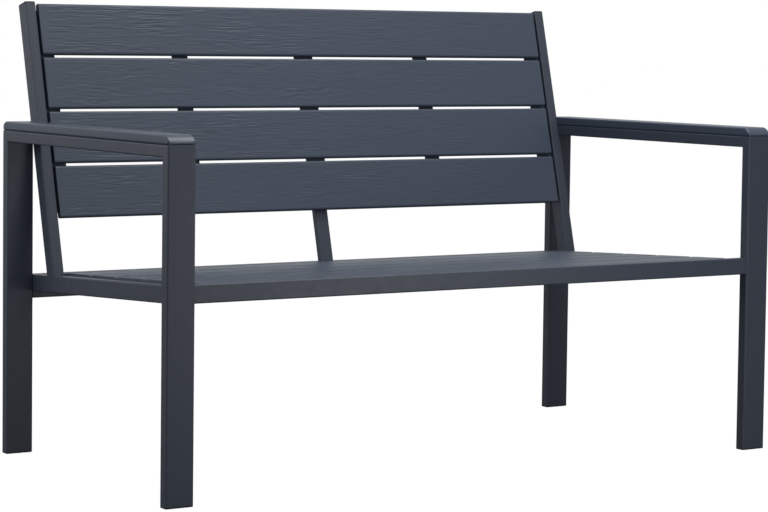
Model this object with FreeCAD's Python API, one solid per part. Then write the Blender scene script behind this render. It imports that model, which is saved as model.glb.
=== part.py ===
import FreeCAD
import Part

import math
import os

V = FreeCAD.Vector
X_AXIS, Y_AXIS, Z_AXIS = V(1, 0, 0), V(0, 1, 0), V(0, 0, 1)

# Turn about the X axis that points a screw up into the seat or forward into the back
UP, FORWARD = 0.0, 90.0

# Side frames: upright tubes and flat arm tubes of one section
bench_width = 1240.0
leg_depth_span = 620.0
frame_height = 574.0
leg_width = 50.0
leg_thickness = 20.0
tube_wall = 1.5
tube_radius = 2.5

# Plugs in the open tube ends
foot_flange = 3.0
foot_tongue = 22.0
foot_edge = 1.0
cap_flange = 3.0
cap_tongue = 18.0
cap_edge = 1.2
plug_wall = 2.5
plug_clearance = 0.05

# Arm planks, seated on the arm tubes
arm_plank_thickness = 16.0
arm_plank_corner = 4.0
arm_plank_top_edge = 3.0
arm_plank_low_edge = 2.5
arm_plank_end = 9.0

# Seat frame, which falls towards the rear
rail_height = 30.0
rail_thickness = 20.0
seat_front_height = 353.0
seat_recess = 3.0
seat_slope = 2.94
side_rail_drop = 4.4
rear_rail_height = 42.0
rear_bay = 56.7

# Planks of the back, and of the seat, where they share what its opening leaves
plank_width = 91.5
plank_thickness = 12.0
plank_gap = 7.0
plank_edge = 4.0
plank_end_gap = 5.0
seat_plank_count = 5
back_plank_count = 4

# Supports under and behind the planks
bearer_width = 30.0
bearer_height = 15.0
bearer_wall = 1.2
support_pitch = 265.0
flat_width = 32.0
flat_thickness = 3.0
centre_strip_width = 40.0
strip_inset = 10.0

# Back: leaning uprights with a thinner post in the middle
back_lean = 14.5
back_inset = 8.5
back_clearance = 99.7
upright_rise = 1.5
post_width = 28.0
post_depth = 12.0
post_inset = 12.0

# Hexagon-head screws from behind and below, drawn six-sided at the shank too
screw_radius = 2.0
screw_clearance = 0.05
screw_bite = 9.0
screw_tip_room = 0.5
screw_head_flats = 7.0
screw_head_height = 3.0
arm_screw_inset = 60.0

# Sizes that follow from the ones above
half_width = bench_width / 2
inner_half = half_width - leg_width
frame_inner_half = inner_half - rail_thickness
leg_centre = -half_width + leg_width / 2
upright_centre = -inner_half + rail_thickness / 2
plank_length = 2 * (frame_inner_half - plank_end_gap)
slope = math.radians(seat_slope)
rear_rail_front = leg_depth_span - rail_thickness
cross_rail_front = (rear_rail_front - rear_bay - seat_recess) / math.cos(slope) - rail_thickness
seat_opening = cross_rail_front - rail_thickness
seat_plank_width = (seat_opening - plank_gap) / seat_plank_count - plank_gap
ledge_place = frame_inner_half - flat_width / 2
support_places = (-support_pitch, 0.0, support_pitch)
screw_columns = (-ledge_place, *support_places, ledge_place)
screw_depth = screw_bite + screw_tip_room
back_height = back_plank_count * plank_width + (back_plank_count - 1) * plank_gap
back_start = seat_recess + (cross_rail_front - back_inset) * math.cos(slope)
flat_back = plank_thickness + flat_thickness
upright_length = back_clearance + back_height + upright_rise
post_length = back_clearance + back_height - post_inset


def rounded_outline(width, height, low_radius, high_radius):
    """Closed outline about the Z axis with an arc at each corner."""
    w, h = width / 2, height / 2
    corners = ((1, -1, low_radius), (1, 1, high_radius), (-1, 1, high_radius), (-1, -1, low_radius))
    arcs = []
    for i, (sx, sy, radius) in enumerate(corners):
        inset = radius * (1 - math.sqrt(0.5))
        across = V(sx * (w - radius), sy * h, 0)
        middle = V(sx * (w - inset), sy * (h - inset), 0)
        upright = V(sx * w, sy * (h - radius), 0)
        start, end = (across, upright) if i % 2 == 0 else (upright, across)
        arcs.append((start, middle, end))
    edges = []
    for i, (start, middle, end) in enumerate(arcs):
        edges.append(Part.Arc(start, middle, end).toShape())
        edges.append(Part.makeLine(end, arcs[(i + 1) % 4][0]))
    return Part.Wire(edges)


def bar(width, height, length, low_radius, high_radius=None):
    """Solid bar along +Z, centred on the Z axis, with all corners alike or two radii."""
    outline = rounded_outline(width, height, low_radius, high_radius or low_radius)
    return Part.Face(outline).extrude(V(0, 0, length))


def block(width, height, length):
    """Sharp-edged bar along +Z, centred on the Z axis."""
    return Part.makeBox(width, height, length, V(-width / 2, -height / 2, 0))


def hollowed(solid, width, height, length, wall):
    """Bar along +Z with a square-cornered bore that leaves a wall all round."""
    return solid.cut(block(width - 2 * wall, height - 2 * wall, length))


def tube(width, height, length):
    """Open rectangular tube along +Z, centred on the Z axis."""
    return hollowed(bar(width, height, length, tube_radius), width, height, length, tube_wall)


def along_x(shape):
    """Turn a bar drawn along +Z so that it runs along +X, its height upright."""
    turned = shape.copy()
    turned.rotate(V(0, 0, 0), Y_AXIS, 90)
    turned.rotate(V(0, 0, 0), X_AXIS, 90)
    return turned


def along_y(shape):
    """Turn a bar drawn along +Z so that it runs along +Y, its height upright."""
    turned = shape.copy()
    turned.rotate(V(0, 0, 0), X_AXIS, 90)
    turned.rotate(V(0, 0, 0), Z_AXIS, 180)
    return turned


def moved(shape, x=0.0, y=0.0, z=0.0):
    """Copy of a shape, shifted."""
    copy = shape.copy()
    copy.translate(V(x, y, z))
    return copy


def kept_side(shape, point, normal):
    """Part of a shape that lies behind a plane, away from its normal."""
    reach = 2 * bench_width
    cutter = block(reach, reach, reach)
    cutter.Placement = FreeCAD.Placement(point, FreeCAD.Rotation(Z_AXIS, normal))
    return shape.cut(cutter)


def mirrored(shape):
    """Copy of a left-hand shape for the right-hand side."""
    return shape.mirror(V(0, 0, 0), X_AXIS)


def pair(name, left):
    """Left-hand shape and its mirror image as two pieces."""
    return {name + "_left": left, name + "_right": mirrored(left)}


def on_seat(shape):
    """Move a shape from the level seat frame to its place on the sloping one."""
    placed = shape.copy()
    placed.rotate(V(0, 0, 0), X_AXIS, -seat_slope)
    placed.translate(V(0, seat_recess, seat_front_height))
    return placed


def seat_height_at(y):
    """Height of the seat plane at a distance behind the front leg faces."""
    return seat_front_height - (y - seat_recess) * math.tan(slope)


def on_back(shape):
    """Move a shape from an upright back to its place on the leaning one."""
    placed = shape.copy()
    placed.rotate(V(0, 0, 0), X_AXIS, -back_lean)
    placed.translate(V(0, back_start, seat_height_at(back_start)))
    return placed


def six_sided_bar(corner_radius, length):
    """Six-sided bar along +Z from the origin."""
    turns = [math.radians(60 * i) for i in range(7)]
    corners = [V(corner_radius * math.cos(t), corner_radius * math.sin(t), 0) for t in turns]
    return Part.Face(Part.makePolygon(corners)).extrude(V(0, 0, length))


def at_places(shape, places, turn):
    """Copies of a shape drawn along +Z, turned about the X axis, one at each place."""
    turned = shape.copy()
    turned.rotate(V(0, 0, 0), X_AXIS, turn)
    return [moved(turned, *place) for place in places]


def drilled(shape, places, depth, turn=UP):
    """Shape with a screw hole from each place."""
    hole = six_sided_bar(screw_radius + screw_clearance, depth)
    return shape.cut(Part.Compound(at_places(hole, places, turn)))


def screws(places, grip, turn=UP):
    """Separate screws with a head at each place, which bite past what they hold."""
    head = six_sided_bar(screw_head_flats / math.sqrt(3), screw_head_height)
    shank = six_sided_bar(screw_radius, grip + screw_bite)
    return at_places(moved(head, z=-screw_head_height).fuse(shank), places, turn)


def leg(front):
    """Left front or rear leg, its top cut at 45 degrees for the arm tube."""
    y = leg_thickness / 2 if front else leg_depth_span - leg_thickness / 2
    post = moved(tube(leg_width, leg_thickness, frame_height - foot_flange), leg_centre, y, foot_flange)
    corner = V(0, 0 if front else leg_depth_span, frame_height)
    return kept_side(post, corner, V(0, 1 if front else -1, 1))


def arm_screw_places(height):
    """Places of the arm screws along the middle of the left arm, at a height."""
    along = (arm_screw_inset, leg_depth_span / 2, leg_depth_span - arm_screw_inset)
    return [V(leg_centre, y, height) for y in along]


def arm_rail():
    """Left arm tube with 45 degree cuts that meet both legs."""
    rail = along_y(tube(leg_width, leg_thickness, leg_depth_span))
    rail = moved(rail, leg_centre, 0, frame_height - leg_thickness / 2)
    rail = kept_side(rail, V(0, 0, frame_height), V(0, -1, -1))
    rail = kept_side(rail, V(0, leg_depth_span, frame_height), V(0, 1, -1))
    return drilled(rail, arm_screw_places(frame_height - leg_thickness), leg_thickness)


def arm_plank():
    """Left arm board, rounded over along its edges, over its ends and at its corners."""
    edges = (arm_plank_low_edge, arm_plank_top_edge)
    ends = (arm_plank_low_edge, arm_plank_end)
    section = along_y(bar(leg_width, arm_plank_thickness, leg_depth_span, *edges))
    side = along_x(bar(leg_depth_span, arm_plank_thickness, leg_width, *ends))
    plan = bar(leg_width, leg_depth_span, arm_plank_thickness, arm_plank_corner)
    middle = leg_depth_span / 2
    plank = section.common(moved(side, -leg_width / 2, middle))
    plank = plank.common(moved(plan, 0, middle, -arm_plank_thickness / 2))
    plank = moved(plank, leg_centre, 0, frame_height + arm_plank_thickness / 2)
    return drilled(plank, arm_screw_places(frame_height), screw_depth)


def plug(width, height, flange, tongue, edge):
    """Plug for a tube end, its flange from the origin upwards and its hollow tongue below."""
    plate = bar(width, height, flange, tube_radius)
    rim = [e for e in plate.Edges if e.BoundBox.ZMin > flange / 2]
    fit = 2 * (tube_wall + plug_clearance)
    across, along = width - fit, height - fit
    stem = hollowed(block(across, along, tongue), across, along, tongue, plug_wall)
    return plate.makeChamfer(edge, rim).fuse(moved(stem, z=-tongue))


def foot_plug(front):
    """Plug under the left front or rear leg."""
    foot = plug(leg_width, leg_thickness, foot_flange, foot_tongue, foot_edge)
    foot.rotate(V(0, 0, 0), X_AXIS, 180)
    y = leg_thickness / 2 if front else leg_depth_span - leg_thickness / 2
    return moved(foot, leg_centre, y, foot_flange)


def seat_front_rail():
    """Tube between the front legs, tilted with the seat."""
    rail = along_x(tube(rail_thickness, rail_height, 2 * inner_half))
    return on_seat(moved(rail, -inner_half, rail_thickness / 2, -rail_height / 2))


def seat_rear_rail():
    """Deeper tube between the rear legs, which takes the ends of the side rails."""
    rail = along_x(tube(rail_thickness, rear_rail_height, 2 * inner_half))
    top = seat_height_at(rear_rail_front) - side_rail_drop
    return moved(rail, -inner_half, rear_rail_front + rail_thickness / 2, top - rear_rail_height / 2)


def seat_side_rail():
    """Left tube from the front rail to the rear rail, a little below the plank tops."""
    rail = along_y(tube(rail_thickness, rail_height, leg_depth_span))
    rail = moved(rail, upright_centre, rail_thickness, -side_rail_drop - rail_height / 2)
    return kept_side(on_seat(rail), V(0, rear_rail_front, 0), Y_AXIS)


def seat_cross_rail():
    """Tube between the side rails behind the last plank."""
    rail = along_x(tube(rail_thickness, rail_height, 2 * frame_inner_half))
    middle = cross_rail_front + rail_thickness / 2
    return on_seat(moved(rail, -frame_inner_half, middle, -rail_height / 2))


def seat_plank_middles():
    """Middle of each seat plank, measured along the slope from the front rail's face."""
    first = rail_thickness + plank_gap + seat_plank_width / 2
    return [first + i * (seat_plank_width + plank_gap) for i in range(seat_plank_count)]


def back_plank_middles():
    """Middle of each back plank, measured up the lean from the seat plane."""
    first = back_clearance + plank_width / 2
    return [first + i * (plank_width + plank_gap) for i in range(back_plank_count)]


def under_seat(columns, depth):
    """Places below the seat plane, at the middle of every plank in each column."""
    return [V(x, y, -depth) for x in columns for y in seat_plank_middles()]


def behind_back(columns, depth):
    """Places behind the front plane of the back, at the middle of every plank in each column."""
    return [V(x, depth, z) for x in columns for z in back_plank_middles()]


def seat_bearer(x):
    """Sharp-edged tube under the seat planks, from the front rail to the cross rail."""
    beam = block(bearer_width, bearer_height, seat_opening)
    beam = along_y(hollowed(beam, bearer_width, bearer_height, seat_opening, bearer_wall))
    beam = moved(beam, x, rail_thickness, -plank_thickness - bearer_height / 2)
    places = under_seat([x], plank_thickness + bearer_height)
    return on_seat(drilled(beam, places, bearer_height))


def seat_ledge():
    """Left flat bar on the side rail, under the plank ends."""
    flat = along_y(block(flat_width, flat_thickness, seat_opening))
    flat = moved(flat, -ledge_place, rail_thickness, -plank_thickness - flat_thickness / 2)
    return on_seat(drilled(flat, under_seat([-ledge_place], flat_back), flat_thickness))


def board(width):
    """Plank along X with rounded long edges, its front face up, centred on the X axis."""
    plank = along_x(bar(width, plank_thickness, plank_length, plank_edge))
    return moved(plank, -plank_length / 2, 0, -plank_thickness / 2)


def seat_plank(middle):
    """Seat plank with blind holes in its underside."""
    places = [V(x, middle, -plank_thickness) for x in screw_columns]
    return on_seat(drilled(moved(board(seat_plank_width), y=middle), places, screw_depth))


def back_plank(middle):
    """Back plank with blind holes in its rear face."""
    plank = board(plank_width)
    plank.rotate(V(0, 0, 0), X_AXIS, 90)
    places = [V(x, plank_thickness, middle) for x in screw_columns]
    return on_back(drilled(moved(plank, z=middle), places, screw_depth, FORWARD))


def standing_tube(width, depth, length, front):
    """Upright tube that reaches below the seat plane, its front face at a depth in the back."""
    return moved(tube(width, depth, length + depth), 0, front + depth / 2, -depth)


def on_rails(post, drop):
    """Lean an upright tube back and cut its foot to stand at a drop below the plank tops."""
    down = V(0, -math.sin(slope), -math.cos(slope))
    foot = V(0, back_start, seat_height_at(back_start)) + down * drop
    return kept_side(on_back(post), foot, down)


def back_upright():
    """Left leaning tube on the side rail."""
    post = standing_tube(rail_thickness, rail_height, upright_length, 0.0)
    return on_rails(moved(post, upright_centre), side_rail_drop)


def back_post():
    """Thin leaning tube behind the centre strip."""
    post = standing_tube(post_width, post_depth, post_length, flat_back)
    post = drilled(post, behind_back([0.0], flat_back + post_depth), post_depth, FORWARD)
    return on_rails(post, 0.0)


def back_flat(x, width):
    """Flat bar behind the back planks."""
    middle = plank_thickness + flat_thickness / 2
    flat = block(width, flat_thickness, back_height - 2 * strip_inset)
    flat = moved(flat, x, middle, back_clearance + strip_inset)
    return on_back(drilled(flat, behind_back([x], flat_back), flat_thickness, FORWARD))


def tube_cap(width, depth, length, x, front):
    """Plug in the top of a leaning tube."""
    cap = plug(width, depth, cap_flange, cap_tongue, cap_edge)
    return on_back(moved(cap, x, front + depth / 2, length))


def side_frames():
    """Legs, arm tubes, foot plugs, arm boards and their screws."""
    pieces = {**pair("arm_rail", arm_rail()), **pair("arm_plank", arm_plank())}
    for place, front in (("front", True), ("rear", False)):
        pieces.update(pair("leg_" + place, leg(front)))
        pieces.update(pair("foot_plug_" + place, foot_plug(front)))
    left = screws(arm_screw_places(frame_height - leg_thickness), leg_thickness)
    pieces["arm_screws"] = Part.Compound(left + [mirrored(screw) for screw in left])
    return pieces


def seat():
    """Seat frame, supports, planks and their screws."""
    pieces = {**pair("seat_side_rail", seat_side_rail()), **pair("seat_ledge", seat_ledge())}
    pieces["seat_front_rail"] = seat_front_rail()
    pieces["seat_rear_rail"] = seat_rear_rail()
    pieces["seat_cross_rail"] = seat_cross_rail()
    for place, x in zip(("left", "centre", "right"), support_places):
        pieces["seat_bearer_" + place] = seat_bearer(x)
    for i, middle in enumerate(seat_plank_middles()):
        pieces["seat_plank_%d" % (i + 1)] = seat_plank(middle)
    under_bearers = under_seat(support_places, plank_thickness + bearer_height)
    under_ledges = under_seat((-ledge_place, ledge_place), flat_back)
    pieces["seat_bearer_screws"] = on_seat(Part.Compound(screws(under_bearers, bearer_height)))
    pieces["seat_ledge_screws"] = on_seat(Part.Compound(screws(under_ledges, flat_thickness)))
    return pieces


def back():
    """Uprights, centre post, flat bars, planks, caps and their screws."""
    pieces = {**pair("back_upright", back_upright()), "back_post_centre": back_post()}
    pieces.update(pair("back_ledge", back_flat(-ledge_place, flat_width)))
    pieces.update(pair("back_strip", back_flat(-support_pitch, flat_width)))
    pieces["back_strip_centre"] = back_flat(0.0, centre_strip_width)
    for i, middle in enumerate(back_plank_middles()):
        pieces["back_plank_%d" % (i + 1)] = back_plank(middle)
    cap = tube_cap(rail_thickness, rail_height, upright_length, upright_centre, 0.0)
    pieces.update(pair("upright_cap", cap))
    pieces["post_cap"] = tube_cap(post_width, post_depth, post_length, 0.0, flat_back)
    behind_strips = behind_back([x for x in screw_columns if x], flat_back)
    behind_post = behind_back([0.0], flat_back + post_depth)
    short = screws(behind_strips, flat_thickness, FORWARD)
    long = screws(behind_post, flat_thickness + post_depth, FORWARD)
    pieces["back_strip_screws"] = on_back(Part.Compound(short))
    pieces["back_post_screws"] = on_back(Part.Compound(long))
    return pieces


pieces = {**side_frames(), **seat(), **back()}
box = Part.Compound(list(pieces.values())).BoundBox
os.makedirs("parts", exist_ok=True)
for name, shape in pieces.items():
    moved(shape, y=-(box.YMin + box.YMax) / 2).exportStep("parts/" + name + ".step")
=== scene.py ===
"""Two-seat garden bench: a powder-coated steel frame with embossed wood-look boards."""

import logging
import math
from dataclasses import dataclass
from enum import Enum
from typing import Any

import bmesh
import bpy
import numpy as np
from mathutils import Matrix, Vector


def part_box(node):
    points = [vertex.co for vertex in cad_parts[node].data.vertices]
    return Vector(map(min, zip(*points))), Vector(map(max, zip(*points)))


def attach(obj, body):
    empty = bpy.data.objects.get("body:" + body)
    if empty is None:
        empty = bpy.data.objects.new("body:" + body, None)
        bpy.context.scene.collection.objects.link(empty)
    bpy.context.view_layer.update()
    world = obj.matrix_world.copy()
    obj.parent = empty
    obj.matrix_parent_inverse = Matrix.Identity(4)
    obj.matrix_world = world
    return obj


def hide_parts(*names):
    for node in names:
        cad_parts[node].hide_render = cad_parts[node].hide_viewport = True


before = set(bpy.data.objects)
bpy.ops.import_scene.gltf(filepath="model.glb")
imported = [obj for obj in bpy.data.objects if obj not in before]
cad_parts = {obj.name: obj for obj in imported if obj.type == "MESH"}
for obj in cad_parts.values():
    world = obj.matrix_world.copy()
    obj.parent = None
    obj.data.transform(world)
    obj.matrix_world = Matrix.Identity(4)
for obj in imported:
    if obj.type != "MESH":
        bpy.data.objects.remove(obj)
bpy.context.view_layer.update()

logging.basicConfig(level=logging.INFO, format="%(message)s")
log = logging.getLogger("bench")

Triple = tuple[float, float, float]
Colour = Triple

MM = 0.001
WHITE: Colour = (1.0, 1.0, 1.0)
SHARP_ANGLE = math.radians(40)
# Largest cosine between two directions that still counts as square.
SQUARE_LIMIT = 0.01
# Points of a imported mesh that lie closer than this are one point.
WELD_GAP = 1e-6


class Side(Enum):
    """Which way a piece's show face looks."""

    FRONT = "front"
    TOP = "top"


class Wire:
    """A socket of a shader tree. Arithmetic on it adds the Math nodes."""

    def __init__(self, tree: "Shader", socket: bpy.types.NodeSocket) -> None:
        """Keep the tree that new nodes go into, and the socket itself."""
        self.tree = tree
        self.socket = socket

    def math(self, operation: str, other: "Wire | float | None" = None, swap: bool = False) -> "Wire":
        """Add one Math node.

        Args:
            operation: Blender's name of the operation.
            other: The second number, where the operation has one.
            swap: Put the other number first.

        Returns:
            The node's result.
        """
        terms = [self] if other is None else [self, other]
        ordered = reversed(terms) if swap else terms
        return self.tree.add("ShaderNodeMath", {"operation": operation}, dict(enumerate(ordered)))

    def __add__(self, other: "Wire | float") -> "Wire":
        """Sum."""
        return self.math("ADD", other)

    def __sub__(self, other: "Wire | float") -> "Wire":
        """Difference."""
        return self.math("SUBTRACT", other)

    def __rsub__(self, other: float) -> "Wire":
        """Difference from a number."""
        return self.math("SUBTRACT", other, swap=True)

    def __mul__(self, other: "Wire | float") -> "Wire":
        """Product."""
        return self.math("MULTIPLY", other)


class Shader:
    """A material and its node tree."""

    def __init__(self, name: str) -> None:
        """Start an empty material with that name."""
        self.material = bpy.data.materials.new(name)
        self.material.use_nodes = True
        self._start(self.material.node_tree)

    @classmethod
    def of_tree(cls, tree: bpy.types.NodeTree) -> "Shader":
        """Empty a tree that is there already, such as the world's."""
        shader = cls.__new__(cls)
        shader._start(tree)
        return shader

    def _start(self, tree: bpy.types.NodeTree) -> None:
        """Keep a tree's nodes and links, and empty it."""
        self.nodes = tree.nodes
        self.links = tree.links
        self.nodes.clear()

    def add(
        self,
        kind: str,
        settings: dict[str, Any] | None = None,
        sockets: dict[str | int, Any] | None = None,
        output: str | int = 0,
    ) -> Wire:
        """Add a node, set it up and fill its sockets.

        Args:
            kind: The node's type.
            settings: Its settings, and "stops" for a colour ramp.
            sockets: Values or wires for its inputs, by name or number.
            output: The output to hand back, by name or number.

        Returns:
            That output.
        """
        node = self.nodes.new(kind)
        for key, value in (settings or {}).items():
            if key == "stops":
                self._set_stops(node.color_ramp, value)
            else:
                setattr(node, key, value)
        for key, value in (sockets or {}).items():
            if isinstance(value, Wire):
                self.links.new(value.socket, node.inputs[key])
            else:
                node.inputs[key].default_value = value
        return Wire(self, node.outputs[output] if len(node.outputs) else None)

    def _set_stops(self, ramp: bpy.types.ColorRamp, stops: list[tuple[float, float]]) -> None:
        """Give a colour ramp grey stops, each a place and a level."""
        while len(ramp.elements) < len(stops):
            ramp.elements.new(0.5)
        for element, (place, level) in zip(ramp.elements, stops):
            element.position = place
            element.color = (level, level, level, 1.0)

    def place(self, stretch: Triple = (1.0, 1.0, 1.0)) -> Wire:
        """Object coordinates, scaled along each axis."""
        at = self.add("ShaderNodeTexCoord", output="Object")
        return self.add("ShaderNodeMapping", {}, {"Vector": at, "Scale": stretch})

    def noise(self, at: Wire, scale: float, detail: float = 2.0, roughness: float = 0.5) -> Wire:
        """Noise about 0.5 at a scale in cells per metre."""
        sockets = {"Vector": at, "Scale": scale, "Detail": detail, "Roughness": roughness}
        return self.add("ShaderNodeTexNoise", {}, sockets)

    def ramp(self, value: Wire, stops: list[tuple[float, float]]) -> Wire:
        """Value carried through a ramp of grey stops."""
        return self.add("ShaderNodeValToRGB", {"stops": stops}, {"Fac": value})

    def vary(self, noise: Wire, first: float, last: float, start: float = 0.3, end: float = 0.7) -> Wire:
        """Value that runs from first to last over the levels where most of a noise lies."""
        return self.ramp(noise, [(start, first), (end, last)])

    def blend(self, share: Wire, first: Any, second: Any) -> Wire:
        """Mix of two colours."""
        sockets = {0: share, 6: first, 7: second}
        return self.add("ShaderNodeMix", {"data_type": "RGBA"}, sockets, output=2)

    def bump(self, height: Wire, depth: float) -> Wire:
        """Normal bent by a height of a depth in metres."""
        return self.add("ShaderNodeBump", {}, {"Height": height, "Distance": depth})

    def finish(self, surface: Wire) -> bpy.types.Material:
        """Join a surface to the material's output.

        Returns:
            The finished material.
        """
        self.add("ShaderNodeOutputMaterial", {}, {"Surface": surface})
        return self.material


def rgba(colour: Colour, level: float = 1.0) -> tuple[float, float, float, float]:
    """Opaque colour, lightened or darkened by a level."""
    return (*(level * part for part in colour), 1.0)


@dataclass(frozen=True)
class BoardFinish:
    """Solid-coloured wood-look board with fine fibres, with painted shade in the grooves and a painted
    highlight that makes it a little paler on the ridges.
    """

    name: str = "wood_look_board"
    colour: Colour = (0.054, 0.074, 0.110)
    # Darkest and palest colour levels: painted shade in the grooves and painted highlight on the ridges, plus
    # random fibre and cloud tone.
    groove_level: float = 0.82
    ridge_level: float = 1.20
    roughness: float = 0.45
    dull: float = 0.08
    sheen: float = 0.05
    pore_depth: float = 0.00012
    fibre_cells: Triple = (22.0, 900.0, 900.0)
    cloud_cells: Triple = (2.0, 14.0, 14.0)
    base_tone: float = 0.1
    painted_relief_shade: float = 0.35
    fibre_tone: float = 0.4
    cloud_tone: float = 0.4

    def material(self) -> bpy.types.Material:
        """Board with fine fibres on the relief that its mesh carries.

        Returns:
            The material.
        """
        shader = Shader(self.name)
        relief = shader.add("ShaderNodeAttribute", {"attribute_name": "relief"}, output="Fac")
        polish = shader.add("ShaderNodeAttribute", {"attribute_name": "polish"}, output="Fac")
        fibres = shader.noise(shader.place(self.fibre_cells), 1.0, 4.0, 0.6)
        clouds = shader.noise(shader.place(self.cloud_cells), 1.0, 3.0)
        # The relief's share paints shade into the grooves and a highlight onto the ridges; fibres and clouds
        # add random tone.
        tone = relief * self.painted_relief_shade + fibres * self.fibre_tone
        tone = tone + clouds * self.cloud_tone + self.base_tone
        colour = shader.blend(tone, rgba(self.colour, self.groove_level), rgba(self.colour, self.ridge_level))
        rough = shader.vary(fibres, self.roughness + self.dull, self.roughness - self.sheen)
        sockets = {
            "Base Color": colour,
            "Roughness": rough - polish,
            "Normal": shader.bump(fibres, self.pore_depth),
        }
        return shader.finish(shader.add("ShaderNodeBsdfPrincipled", {}, sockets))


@dataclass(frozen=True)
class CoatFinish:
    """Fine matt powder coat: a soft pebbled skin, a little paler on the edges."""

    name: str = "frame_steel"
    colour: Colour = (0.045, 0.056, 0.083)
    edge_level: float = 1.7
    edge_radius: float = 0.0018
    edge_start: float = 0.02
    edge_full: float = 0.18
    edge_base: float = 0.1
    edge_spread: float = 0.8
    roughness: float = 0.45
    sheen: float = 0.04
    dull: float = 0.05
    pebble_cells: float = 1400.0
    flow_cells: float = 60.0
    pebble_share: float = 0.8
    skin_depth: float = 0.00006

    def material(self) -> bpy.types.Material:
        """Powder coat.

        Returns:
            The material.
        """
        shader = Shader(self.name)
        at = shader.place()
        pebbles = shader.noise(at, self.pebble_cells, 2.0)
        flow = shader.noise(at, self.flow_cells, 3.0)
        softened = shader.add("ShaderNodeBevel", {"samples": 6}, {"Radius": self.edge_radius})
        flat = shader.add("ShaderNodeNewGeometry", output="Normal")
        sockets = {0: softened, 1: flat}
        along = shader.add("ShaderNodeVectorMath", {"operation": "DOT_PRODUCT"}, sockets, output="Value")
        edge = shader.ramp(1 - along, [(self.edge_start, 0.0), (self.edge_full, 1.0)])
        paler_edge = edge * (flow * self.edge_spread + self.edge_base)
        colour = shader.blend(paler_edge, rgba(self.colour), rgba(self.colour, self.edge_level))
        rough = shader.vary(flow, self.roughness - self.sheen, self.roughness + self.dull)
        skin = pebbles * self.pebble_share + flow * (1.0 - self.pebble_share)
        sockets = {
            "Base Color": colour,
            "Roughness": rough,
            "Normal": shader.bump(skin, self.skin_depth),
        }
        return shader.finish(shader.add("ShaderNodeBsdfPrincipled", {}, sockets))


@dataclass(frozen=True)
class PlugFinish:
    """Moulded black plastic with a fine spark-eroded grain."""

    name: str = "end_plug"
    colour: Colour = (0.020, 0.022, 0.025)
    dark_level: float = 0.8
    pale_level: float = 1.35
    roughness: float = 0.52
    sheen: float = 0.06
    dull: float = 0.1
    grain_cells: float = 2600.0
    grain_depth: float = 0.00005
    scuff_cells: float = 120.0
    scuff_start: float = 0.35

    def material(self) -> bpy.types.Material:
        """Moulded plastic.

        Returns:
            The material.
        """
        shader = Shader(self.name)
        at = shader.place()
        grain = shader.noise(at, self.grain_cells, 1.0)
        scuffs = shader.noise(at, self.scuff_cells, 4.0, 0.7)
        colour = shader.blend(scuffs, rgba(self.colour, self.dark_level), rgba(self.colour, self.pale_level))
        glossy, matt = self.roughness - self.sheen, self.roughness + self.dull
        rough = shader.vary(scuffs, glossy, matt, self.scuff_start)
        sockets = {
            "Base Color": colour,
            "Roughness": rough,
            "Normal": shader.bump(grain, self.grain_depth),
        }
        return shader.finish(shader.add("ShaderNodeBsdfPrincipled", {}, sockets))


@dataclass(frozen=True)
class ZincFinish:
    """Zinc-plated steel with a faint cloudy passivation."""

    name: str = "screw_steel"
    colour: Colour = (0.45, 0.45, 0.46)
    dark_level: float = 0.8
    pale_level: float = 1.15
    roughness: float = 0.34
    sheen: float = 0.08
    dull: float = 0.12
    cloud_cells: float = 700.0
    cloud_depth: float = 0.00003

    def material(self) -> bpy.types.Material:
        """Zinc plate.

        Returns:
            The material.
        """
        shader = Shader(self.name)
        clouds = shader.noise(shader.place(), self.cloud_cells, 3.0)
        colour = shader.blend(clouds, rgba(self.colour, self.dark_level), rgba(self.colour, self.pale_level))
        rough = shader.vary(clouds, self.roughness - self.sheen, self.roughness + self.dull)
        sockets = {
            "Base Color": colour,
            "Metallic": 1.0,
            "Roughness": rough,
            "Normal": shader.bump(clouds, self.cloud_depth),
        }
        return shader.finish(shader.add("ShaderNodeBsdfPrincipled", {}, sockets))


@dataclass(frozen=True)
class Slab:
    """Local frame and extents of a straight piece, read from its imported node."""

    along: np.ndarray
    across: np.ndarray
    out: np.ndarray
    low: np.ndarray
    high: np.ndarray

    @classmethod
    def of_node(cls, node: str, along: Triple, side: Side) -> "Slab":
        """Measure a node.

        Args:
            node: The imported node's name.
            along: The direction of its length.
            side: Where its show face looks.

        Returns:
            Its frame, in which the show face is the high end of the third axis.
        """
        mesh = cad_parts[node].data
        areas = np.empty(len(mesh.polygons))
        normals = np.empty(3 * len(mesh.polygons))
        points = np.empty(3 * len(mesh.vertices))
        mesh.polygons.foreach_get("area", areas)
        mesh.polygons.foreach_get("normal", normals)
        mesh.vertices.foreach_get("co", points)
        length = np.array(along)
        normals = normals.reshape(-1, 3)
        square = np.abs(normals @ length) < SQUARE_LIMIT
        out = normals[np.argmax(areas * square)]
        facing = -out[1] if side is Side.FRONT else out[2]
        out = out * math.copysign(1.0, facing)
        across = np.cross(out, length)
        local = points.reshape(-1, 3) @ np.stack([length, across, out], axis=1)
        return cls(length, across, out, local.min(axis=0), local.max(axis=0))

    @property
    def size(self) -> np.ndarray:
        """Length, width and thickness."""
        return self.high - self.low

    def world(self, local: np.ndarray) -> np.ndarray:
        """Points in the row frame from points about the slab's middle."""
        middle = (self.low + self.high) / 2
        return (local + middle) @ np.stack([self.along, self.across, self.out])


def smooth_step(value: np.ndarray) -> np.ndarray:
    """Rise from 0 to 1 with level ends: 3 t squared minus 2 t cubed."""
    held = np.clip(value, 0.0, 1.0)
    return held * held * (3 - 2 * held)


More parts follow.
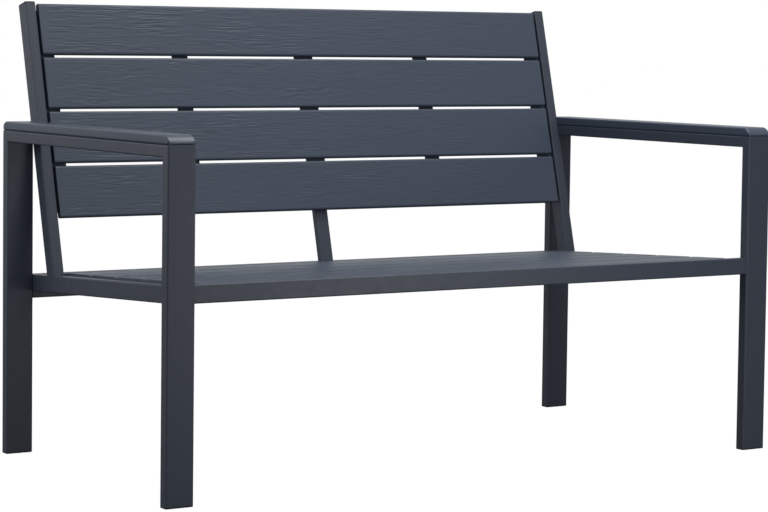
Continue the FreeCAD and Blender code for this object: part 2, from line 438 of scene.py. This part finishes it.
def lattice_noise(rng: np.random.Generator, u: np.ndarray, v: np.ndarray) -> np.ndarray:
    """Smooth noise of two parameters.

    Each row of cells is slid along by a random share of a cell. Each whole number pair holds
    a random height from -1 to 1, and the heights about a place are blended by the smooth
    step of its place inside the cell.

    Args:
        rng: Source of the random heights.
        u: First parameter, in cells.
        v: Second parameter, in cells.

    Returns:
        The height at each pair of parameters.
    """
    row = np.floor(v).astype(int)
    rows = row - row.min()
    slide = rng.uniform(0.0, 1.0, rows.max() + 2)
    first = int(np.floor(u.min()))
    heights = rng.uniform(-1.0, 1.0, (int(np.floor(u.max())) - first + 3, rows.max() + 2))
    levels = []
    for each in (rows, rows + 1):
        place = u + slide[each]
        cell = np.floor(place).astype(int)
        part = smooth_step(place - cell)
        levels.append(heights[cell - first, each] * (1 - part) + heights[cell - first + 1, each] * part)
    part = smooth_step(v - row)
    return levels[0] * (1 - part) + levels[1] * part


@dataclass(frozen=True)
class Grain:
    """Embossed grain: short ridges and grooves along the board, waved where its figure lies.

    A length runs along the board, and a width or a pitch across it.
    """

    depth: float = 0.00032
    figure_length: float = 0.30
    figure_width: float = 0.08
    calm_wave: float = 0.06
    wave: float = 0.0050
    wave_length: float = 0.019
    wave_width: float = 0.014
    drift: float = 0.003
    drift_length: float = 0.22
    drift_width: float = 0.2
    dash_length: float = 0.026
    dash_pitch: float = 0.0021
    fleck_share: float = 0.5
    fleck_length: float = 0.012
    fleck_pitch: float = 0.0017
    flat_level: float = 0.22
    rise_level: float = 0.7
    patch_base: float = 0.45
    patch_length: float = 0.08
    patch_width: float = 0.018
    fade: float = 0.50
    fade_place: float = 0.55
    end_margin: float = 0.014
    end_fade: float = 0.010
    edge_margin: float = 0.0035
    edge_fade: float = 0.002

    def relief(
        self,
        rng: np.random.Generator,
        u: np.ndarray,
        v: np.ndarray,
        size: np.ndarray,
        figure: float,
    ) -> np.ndarray:
        """Level of the surface, from -1 in a groove to 1 on a ridge.

        Noise stretched along the board is read at a place that waves across it, most where
        the board's figure lies, and shorter flecks are added. Its high parts are ridges and
        its low parts grooves, and a slower noise makes them stronger in one patch than in the
        next. They weaken toward the far end, and run out before the ends and edges.

        Args:
            rng: Source of the board's own grain.
            u: Place along the board, in metres from its middle.
            v: Place across it.
            size: Length and width of the board.
            figure: How far the board's figure spreads, from 0 to 1.

        Returns:
            The level at each place.
        """
        spread = lattice_noise(rng, u / self.figure_length, v / self.figure_width) + 2 * figure - 1
        share = self.calm_wave + (1 - self.calm_wave) * smooth_step(spread + 0.5)
        bent = v + self.wave * share * lattice_noise(rng, u / self.wave_length, v / self.wave_width)
        bent = bent + self.drift * lattice_noise(rng, u / self.drift_length, v / self.drift_width)
        dash = lattice_noise(rng, u / self.dash_length, bent / self.dash_pitch)
        fleck = lattice_noise(rng, u / self.fleck_length, bent / self.fleck_pitch)
        dash = dash + self.fleck_share * fleck
        line = smooth_step((np.abs(dash) - self.flat_level) / self.rise_level) * np.sign(dash)
        strong = smooth_step(lattice_noise(rng, u / self.patch_length, v / self.patch_width) + 0.5)
        patch = self.patch_base + (1 - self.patch_base) * strong
        patch = patch * (1 - self.fade * smooth_step(u / size[0] + self.fade_place))
        from_end = (size[0] / 2 - np.abs(u) - self.end_margin) / self.end_fade
        from_edge = (size[1] / 2 - np.abs(v) - self.edge_margin) / self.edge_fade
        return line * patch * smooth_step(from_end) * smooth_step(from_edge)


def end_inset(from_end: np.ndarray, depth: float, reach: float, power: float = 2.0) -> np.ndarray:
    """Inset near an end: depth * (1 - (1 - short**power)**(1 / power)), short from 0 to 1.

    Args:
        from_end: Distances from the end.
        depth: Inset at the very end.
        reach: How far from the end it begins.
        power: 2 for a quarter ellipse, less for a flatter slope.

    Returns:
        The inset at each distance.
    """
    short = np.clip(1.0 - from_end / reach, 0.0, 1.0)
    return depth * (1.0 - (1.0 - short**power) ** (1.0 / power))


@dataclass(frozen=True)
class Edges:
    """Roundings of a board: its long edges, its corners in plan, its two ends and its nose.

    The nose is the top of the end that its length points to. It draws in as deep as the
    other end's top, but over its own reach and by its own curve.
    """

    top: float = 0.0040
    low: float = 0.0040
    end_plan: float = 0.0008
    end_top: float = 0.0008
    end_low: float = 0.0008
    nose_reach: float = 0.0008
    nose_power: float = 2.0


@dataclass(frozen=True)
class Board:
    """A board with rounded long edges, rounded ends and grain on both broad faces."""

    name: str
    slab: Slab
    seed: int
    figure: float
    edges: Edges = Edges()
    stations: int = 190
    end_stations: int = 9
    face_lines: int = 130
    arc_lines: int = 5
    swell: float = 0.0
    polish: float = 0.0
    grain: Grain = Grain()

    def _lengths(self) -> np.ndarray:
        """Stations along the board, close together at its two ends.

        Returns:
            Their places from the board's middle.
        """
        soft = max(self.edges.end_plan, self.edges.end_top, self.edges.nose_reach)
        turn = np.linspace(0.0, math.pi / 2, self.end_stations)
        end = self.slab.size[0] / 2 - soft * (1 - np.sin(turn))
        inner = np.linspace(-end[0], end[0], self.stations)
        return np.concatenate([-end[::-1][:-1], inner, end[1:]])

    def _loop(self) -> tuple[np.ndarray, np.ndarray, np.ndarray, np.ndarray]:
        """Section loop from one edge over the face and back under it.

        Returns:
            For each point, its share of the half width, its side of the thickness, and the
            two parts of its arc about the corner's centre.
        """
        flat = np.linspace(-1.0, 1.0, self.face_lines)
        turn = np.linspace(0.0, math.pi / 2, self.arc_lines + 1)[1:]
        edge = np.ones(self.arc_lines)
        share = np.concatenate([-edge, flat, edge])
        arc = np.concatenate([-np.sin(turn[::-1]), 0 * flat, np.sin(turn)])
        out = np.concatenate([np.cos(turn[::-1]), 0 * flat + 1, np.cos(turn)])
        side = np.ones(len(share))
        shares = np.concatenate([share, share[::-1]])
        sides = np.concatenate([side, -side])
        arcs = np.concatenate([arc, arc[::-1]])
        outs = np.concatenate([out, -out[::-1]])
        return shares, sides, arcs, outs

    def surface(self) -> tuple[np.ndarray, np.ndarray, np.ndarray]:
        """Board as a function of the place along it and round its section.

        A point is its corner centre plus the edge radius along the arc. The corner centres
        draw in near the ends by a curve, and the grain lifts or sinks the broad faces.

        Returns:
            Points in the row frame, quads, and the relief of each point.
        """
        rng = np.random.default_rng(self.seed)
        edges = self.edges
        length, width, thick = self.slab.size + np.array([0.0, 2 * self.swell, 0.0])
        u = self._lengths()[:, None]
        share, side, arc, out = (part[None, :] for part in self._loop())
        from_end = length / 2 - np.abs(u)
        radius = np.where(side > 0, edges.top, edges.low)
        half = width / 2 - end_inset(from_end, edges.end_plan, edges.end_plan)
        nose = end_inset(from_end, edges.end_top, edges.nose_reach, edges.nose_power)
        above = np.where(u > 0, nose, end_inset(from_end, edges.end_top, edges.end_top))
        below = end_inset(from_end, edges.end_low, edges.end_low)
        end = np.where(side > 0, above, below)
        v = share * (half - radius) + arc * radius
        w = side * (thick / 2 - end - radius) + out * radius
        spread_u = u + 0 * v
        fine = self.grain.relief(rng, spread_u, v, self.slab.size, self.figure)
        level = np.where(np.abs(out) == 1.0, fine, 0.0)
        w = w + side * self.grain.depth * level
        points = self.slab.world(np.stack([spread_u, v, w], axis=-1).reshape(-1, 3))
        return points, self._quads(*v.shape), level.ravel()

    def _quads(self, rows: int, columns: int) -> np.ndarray:
        """Quads of the closed tube, and of its two ends, which join each point to its mirror image.

        Args:
            rows: Points along the board.
            columns: Points round its section.

        Returns:
            The four point numbers of each quad.
        """
        row, column = np.mgrid[0 : rows - 1, 0:columns]
        following = (column + 1) % columns
        corners = [row * columns + column, row * columns + following]
        corners += [corners[1] + columns, corners[0] + columns]
        wall = np.stack(corners, axis=-1).reshape(-1, 4)
        first = np.arange(columns // 2 - 1)
        cap = np.stack([first, columns - 1 - first, columns - 2 - first, first + 1], axis=-1)
        return np.concatenate([wall, cap, cap[:, ::-1] + (rows - 1) * columns])

    def build(self, material: bpy.types.Material, slot: str) -> bpy.types.Object:
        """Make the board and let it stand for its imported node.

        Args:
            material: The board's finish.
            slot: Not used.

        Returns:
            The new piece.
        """
        points, quads, level = self.surface()
        piece = mesh_piece(self.name + "_grained", points, quads)
        for key, values in (("relief", level), ("polish", 0 * level + self.polish)):
            layer = piece.data.attributes.new(key, "FLOAT", "POINT")
            layer.data.foreach_set("value", values.astype(np.float32))
        piece.data.materials.append(material)
        piece.modifiers.new("flat faces", "WEIGHTED_NORMAL").keep_sharp = True
        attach(piece, "root")
        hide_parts(self.name)
        log.info("%s: %d quads", piece.name, len(quads))
        return piece


def mesh_piece(name: str, points: np.ndarray, faces: np.ndarray) -> bpy.types.Object:
    """Mesh object at the origin from points and faces of one size.

    Args:
        name: The object's name.
        points: Points in the row frame.
        faces: Point numbers of each face, counter-clockwise from outside.

    Returns:
        The object, smooth except at sharp edges.
    """
    mesh = bpy.data.meshes.new(name)
    mesh.from_pydata(points.tolist(), [], faces.tolist())
    mesh.polygons.foreach_set("use_smooth", np.ones(len(mesh.polygons), bool))
    mesh.set_sharp_from_angle(angle=SHARP_ANGLE)
    mesh.validate()
    piece = bpy.data.objects.new(name, mesh)
    bpy.context.scene.collection.objects.link(piece)
    return piece


@dataclass
class Boards:
    """Nine planks of the seat and back, and the two arm boards, each with its own figure."""

    seat_figures: tuple[float, ...] = (0.3, 0.7, 0.2, 0.6, 0.4)
    back_figures: tuple[float, ...] = (0.75, 0.15, 0.90, 0.10)
    back_swell: float = 0.0009
    back_seed: int = 10
    arm_figure: float = 0.2
    arm_seed: int = 20
    arm_edges: Edges = Edges(
        top=0.003, low=0.0035, end_plan=0.003, end_top=0.013, end_low=0.0025, nose_reach=0.016, nose_power=1.4
    )
    arm_grain: Grain = Grain(depth=0.00010)
    arm_polish: float = 0.09
    arm_stations: int = 120
    arm_face_lines: int = 70
    finish: BoardFinish = BoardFinish()

    def build(self) -> None:
        """Replace the plain boards by grained ones."""
        material = self.finish.material()
        rows = (
            ("seat", Side.TOP, self.seat_figures, 0, 0.0),
            ("back", Side.FRONT, self.back_figures, self.back_seed, self.back_swell),
        )
        for place, side, figures, first_seed, swell in rows:
            for number, figure in enumerate(figures, start=1):
                name = f"{place}_plank_{number}"
                slab = Slab.of_node(name, (1.0, 0.0, 0.0), side)
                board = Board(name, slab, first_seed + number, figure, swell=swell)
                board.build(material, self.finish.name)
        for number, hand in enumerate(("left", "right")):
            name = f"arm_plank_{hand}"
            slab = Slab.of_node(name, (0.0, -1.0, 0.0), Side.TOP)
            board = Board(
                name,
                slab,
                self.arm_seed + number,
                self.arm_figure,
                edges=self.arm_edges,
                stations=self.arm_stations,
                face_lines=self.arm_face_lines,
                grain=self.arm_grain,
                polish=self.arm_polish,
            )
            board.build(material, self.finish.name)


@dataclass
class Screws:
    """Low round-headed screws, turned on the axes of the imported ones.

    The head's profile gives radius and height in millimetres, from the socket's floor over
    the head to the shank. Heights grow toward the tip, from the head's underside.
    """

    head: tuple[tuple[float, float], ...] = (
        (1.1, -0.5), (1.3, -1.15), (1.7, -1.25), (2.9, -1.05), (3.8, -0.6), (4.2, 0.0), (2.0, 0.0),
    )
    socket_floor: float = -0.45
    tip_chamfer: float = 1.0
    shank_limit: float = 3.0
    segments: int = 14
    finish: ZincFinish = ZincFinish()

    def build(self) -> None:
        """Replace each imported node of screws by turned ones."""
        material = self.finish.material()
        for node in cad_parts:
            if "screw" not in node:
                continue
            parts = [self._turned(*axis) for axis in self._axes(node)]
            count = len(parts[0][0])
            points = np.concatenate([part[0] for part in parts])
            faces = np.concatenate([part[1] + count * k for k, part in enumerate(parts)])
            piece = mesh_piece(node + "_turned", points, faces)
            piece.data.materials.append(material)
            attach(piece, "root")
            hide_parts(node)
            log.info("%s: %d screws", piece.name, len(parts))

    def _axes(self, node: str) -> list[tuple[np.ndarray, np.ndarray, float]]:
        """Find each screw of a node.

        Points joined by edges take the lowest number among them, and so make up a screw. Its
        axis is the line that its points spread along most.

        Args:
            node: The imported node's name.

        Returns:
            For each screw, the middle of its head's underside, the way to its tip, and how
            far that is.
        """
        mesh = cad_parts[node].data
        raw = np.empty(3 * len(mesh.vertices))
        ends = np.empty(2 * len(mesh.edges), int)
        mesh.vertices.foreach_get("co", raw)
        mesh.edges.foreach_get("vertices", ends)
        points, merged = np.unique(raw.reshape(-1, 3).round(6), axis=0, return_inverse=True)
        first, second = merged.ravel()[ends].reshape(-1, 2).T
        label, before = np.arange(len(points)), None
        while before is None or (label != before).any():
            before = label.copy()
            np.minimum.at(label, first, before[second])
            np.minimum.at(label, second, before[first])
        return [self._axis(points[label == each]) for each in np.unique(label)]

    def _axis(self, points: np.ndarray) -> tuple[np.ndarray, np.ndarray, float]:
        """Find the axis of one screw.

        Args:
            points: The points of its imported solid.

        Returns:
            The middle of its head's underside, the way to its tip, and how far that is.
        """
        middle = points.mean(axis=0)
        way = np.linalg.svd(points - middle)[2][0]
        along = (points - middle) @ way
        from_axis = np.linalg.norm(points - middle - np.outer(along, way), axis=1)
        head = from_axis > MM * self.shank_limit
        turn = -math.copysign(1.0, along[head].mean())
        along, way = along * turn, way * turn
        seat = along[head].max()
        return middle + way * seat, way, along.max() - seat

    def _turned(self, seat: np.ndarray, way: np.ndarray, length: float) -> tuple[np.ndarray, np.ndarray]:
        """Turn the profile about the screw's axis.

        Each ring is a circle of the profile's radius at its height, and a point closes each
        end.

        Args:
            seat: The middle of the head's underside.
            way: The way to the tip.
            length: How far the tip is.

        Returns:
            Points and triangles.
        """
        shank, reach = self.head[-1][0], length / MM
        rings = [*self.head, (shank, reach - self.tip_chamfer), (shank - self.tip_chamfer, reach)]
        radius, height = MM * np.array(rings).T[:, :, None, None]
        side = np.cross(way, (1.0, 0.0, 0.0))
        angle = np.linspace(0.0, 2 * math.pi, self.segments, endpoint=False)[:, None]
        spoke = np.cos(angle) * side + np.sin(angle) * np.cross(way, side)
        wall = (seat + radius * spoke + height * way).reshape(-1, 3)
        poles = seat + MM * np.array([[self.socket_floor], [reach]]) * way
        return np.concatenate([wall, poles]), self._triangles(len(rings))

    def _triangles(self, rings: int) -> np.ndarray:
        """Join the rings by triangles, and close both ends by a fan about a pole.

        Args:
            rings: How many rings there are. The two poles are numbered after their points.

        Returns:
            The three point numbers of each triangle.
        """
        ring, step = np.mgrid[0 : rings - 1, 0 : self.segments]
        here = (ring * self.segments + step).ravel()
        beside = (ring * self.segments + (step + 1) % self.segments).ravel()
        below, across = here + self.segments, beside + self.segments
        first, second = here[: self.segments], beside[: self.segments]
        last = (rings - 1) * self.segments
        pole = np.full(self.segments, rings * self.segments)
        faces = [(here, beside, across), (here, across, below)]
        faces += [(pole, second, first), (pole + 1, first + last, second + last)]
        return np.concatenate([np.stack(face, axis=1) for face in faces])


@dataclass
class SteelFrame:
    """Legs, rails, uprights and flat bars, as they are packed, with their finishes."""

    coat: CoatFinish = CoatFinish()
    plug: PlugFinish = PlugFinish()
    cut_reach: float = 0.060
    cut_rise: float = 0.0055

    def _cut_side_rail(self, name: str, coat: bpy.types.Material) -> None:
        """Replace a side rail by one whose lower front corner is cut up behind the front rail.

        An edge loop goes in where the cut starts, and the low points of the front end rise.

        Args:
            name: The rail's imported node.
            coat: Its finish.
        """
        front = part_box(name)[0][1]
        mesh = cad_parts[name].data.copy()
        body = bmesh.new()
        body.from_mesh(mesh)
        bmesh.ops.remove_doubles(body, verts=body.verts, dist=WELD_GAP)
        parts = [*body.verts, *body.edges, *body.faces]
        start = (0.0, front + self.cut_reach, 0.0)
        bmesh.ops.bisect_plane(body, geom=parts, plane_co=start, plane_no=(0.0, 1.0, 0.0))
        body.to_mesh(mesh)
        body.free()
        points = np.empty(3 * len(mesh.vertices))
        mesh.vertices.foreach_get("co", points)
        points = points.reshape(-1, 3)
        end = points[:, 1] < front + self.cut_reach / 4
        low = end & (points[:, 2] < points[end, 2].mean())
        points[low, 2] += self.cut_rise
        mesh.vertices.foreach_set("co", points.ravel())
        mesh.materials.clear()
        mesh.materials.append(coat)
        piece = bpy.data.objects.new(name + "_cut", mesh)
        bpy.context.scene.collection.objects.link(piece)
        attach(piece, "root")
        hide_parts(name)
        log.info("%s: %d faces", piece.name, len(mesh.polygons))

    def dress(self) -> None:
        """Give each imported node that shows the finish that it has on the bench."""
        coat, plug = self.coat.material(), self.plug.material()
        for hand in ("left", "right"):
            self._cut_side_rail(f"seat_side_rail_{hand}", coat)
        for name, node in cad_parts.items():
            if "plank" in name or "screw" in name:
                continue
            material = plug if "plug" in name or "cap" in name else coat
            node.data.materials.clear()
            node.data.materials.append(material)
            log.info("%s: %s", name, material.name)


@dataclass(frozen=True)
class Lamp:
    """Square soft lamp."""

    name: str
    place: Triple
    size: float
    watts: float

    def build(self, aim: Triple) -> None:
        """Hang the lamp and turn it.

        Args:
            aim: The place that it points at.
        """
        data = bpy.data.lights.new(self.name, "AREA")
        data.shape = "SQUARE"
        data.size = self.size
        data.energy = self.watts
        lamp = bpy.data.objects.new(self.name, data)
        lamp.visible_camera = False
        bpy.context.scene.collection.objects.link(lamp)
        turn = (Vector(aim) - Vector(self.place)).to_track_quat("-Z", "Y")
        lamp.matrix_world = Matrix.Translation(self.place) @ turn.to_matrix().to_4x4()


@dataclass(frozen=True)
class Studio:
    """White sweep, soft lamps and the camera."""

    floor_radius: float = 9.0
    floor_pale: float = 0.80
    floor_dim: float = 0.15
    floor_white: float = 0.93
    floor_glow: float = 1.06
    room_light: float = 0.39
    room_edge: float = 0.45
    backdrop_light: float = 0.76
    backdrop_edge: float = 0.75
    backdrop_way: Triple = (-0.4, 0.9, 0.0)
    lamps: tuple[Lamp, ...] = (
        Lamp("top", (0.55, -0.4, 2.2), 0.8, 15.5),
        Lamp("front", (0.1, -1.6, 2.2), 0.9, 7.0),
        Lamp("low", (0.3, -1.3, 0.35), 0.6, 2.5),
        Lamp("side", (-1.5, 0.2, 0.9), 0.5, 2.2),
    )
    lamp_aim: Triple = (0.0, 0.0, 0.4)
    camera_place: Triple = (-2.46715, -3.81121, 0.74927)
    heading: float = 0.57401
    pitch: float = 0.06368
    roll: float = 0.01251
    focal_pixels: float = 2519.41
    drop_pixels: float = 60.0
    picture_width: float = 768.0

    def build(self) -> None:
        """Make the stage, the light and the camera."""
        self._floor()
        self._world()
        for lamp in self.lamps:
            lamp.build(self.lamp_aim)
        self._camera()

    def _floor(self) -> None:
        """Square floor that shows white with a faint shadow, and throws little light back."""
        reach = self.floor_radius * np.array([[-1, -1, 0], [1, -1, 0], [1, 1, 0], [-1, 1, 0]])
        floor = mesh_piece("floor", reach, np.array([[0, 1, 2, 3]]))
        shader = Shader("floor")
        seen = shader.add("ShaderNodeLightPath", output="Is Camera Ray")
        colour = shader.blend(seen, rgba(WHITE, self.floor_dim), rgba(WHITE, self.floor_pale))
        matt = shader.add("ShaderNodeBsdfDiffuse", {}, {"Color": colour})
        glow = shader.add("ShaderNodeEmission", {}, {"Strength": self.floor_glow})
        share = seen * self.floor_white
        surface = shader.add("ShaderNodeMixShader", {}, {0: share, 1: matt, 2: glow})
        floor.data.materials.append(shader.finish(surface))

    def _world(self) -> None:
        """World with a lit backdrop behind the bench, a dim room in front, and white to the camera."""
        world = bpy.data.worlds.new("studio")
        world.use_nodes = True
        bpy.context.scene.world = world
        shader = Shader.of_tree(world.node_tree)
        way = shader.add("ShaderNodeTexCoord", output="Generated")
        sockets = {0: way, 1: self.backdrop_way}
        rear = shader.add("ShaderNodeVectorMath", {"operation": "DOT_PRODUCT"}, sockets, output="Value")
        stops = [(self.room_edge, self.room_light), (self.backdrop_edge, self.backdrop_light)]
        level = shader.ramp(rear * 0.5 + 0.5, stops)
        soft = shader.add("ShaderNodeBackground", {}, {"Color": level})
        white = shader.add("ShaderNodeBackground", {}, {"Color": rgba(WHITE)})
        seen = shader.add("ShaderNodeLightPath", output="Is Camera Ray")
        surface = shader.add("ShaderNodeMixShader", {}, {0: seen, 1: soft, 2: white})
        shader.add("ShaderNodeOutputWorld", {}, {"Surface": surface})

    def _camera(self) -> None:
        """Camera with its turn written as heading, pitch and roll."""
        data = bpy.data.cameras.new("camera")
        data.lens = self.focal_pixels / self.picture_width * data.sensor_width
        data.shift_y = -self.drop_pixels / self.picture_width
        ahead = Vector((
            math.sin(self.heading) * math.cos(self.pitch),
            math.cos(self.heading) * math.cos(self.pitch),
            -math.sin(self.pitch),
        ))
        level = Vector((math.cos(self.heading), -math.sin(self.heading), 0.0))
        rise = level.cross(ahead)
        right = math.cos(self.roll) * level + math.sin(self.roll) * rise
        up = math.cos(self.roll) * rise - math.sin(self.roll) * level
        turn = Matrix((right, up, -ahead)).transposed()
        camera = bpy.data.objects.new("camera", data)
        bpy.context.scene.collection.objects.link(camera)
        camera.matrix_world = Matrix.Translation(self.camera_place) @ turn.to_4x4()
        bpy.context.scene.camera = camera


def main() -> None:
    """Build the bench's looks in order."""
    bpy.context.scene.view_settings.view_transform = "Standard"
    Studio().build()
    SteelFrame().dress()
    Boards().build()
    Screws().build()


if __name__ == "__main__":
    main()
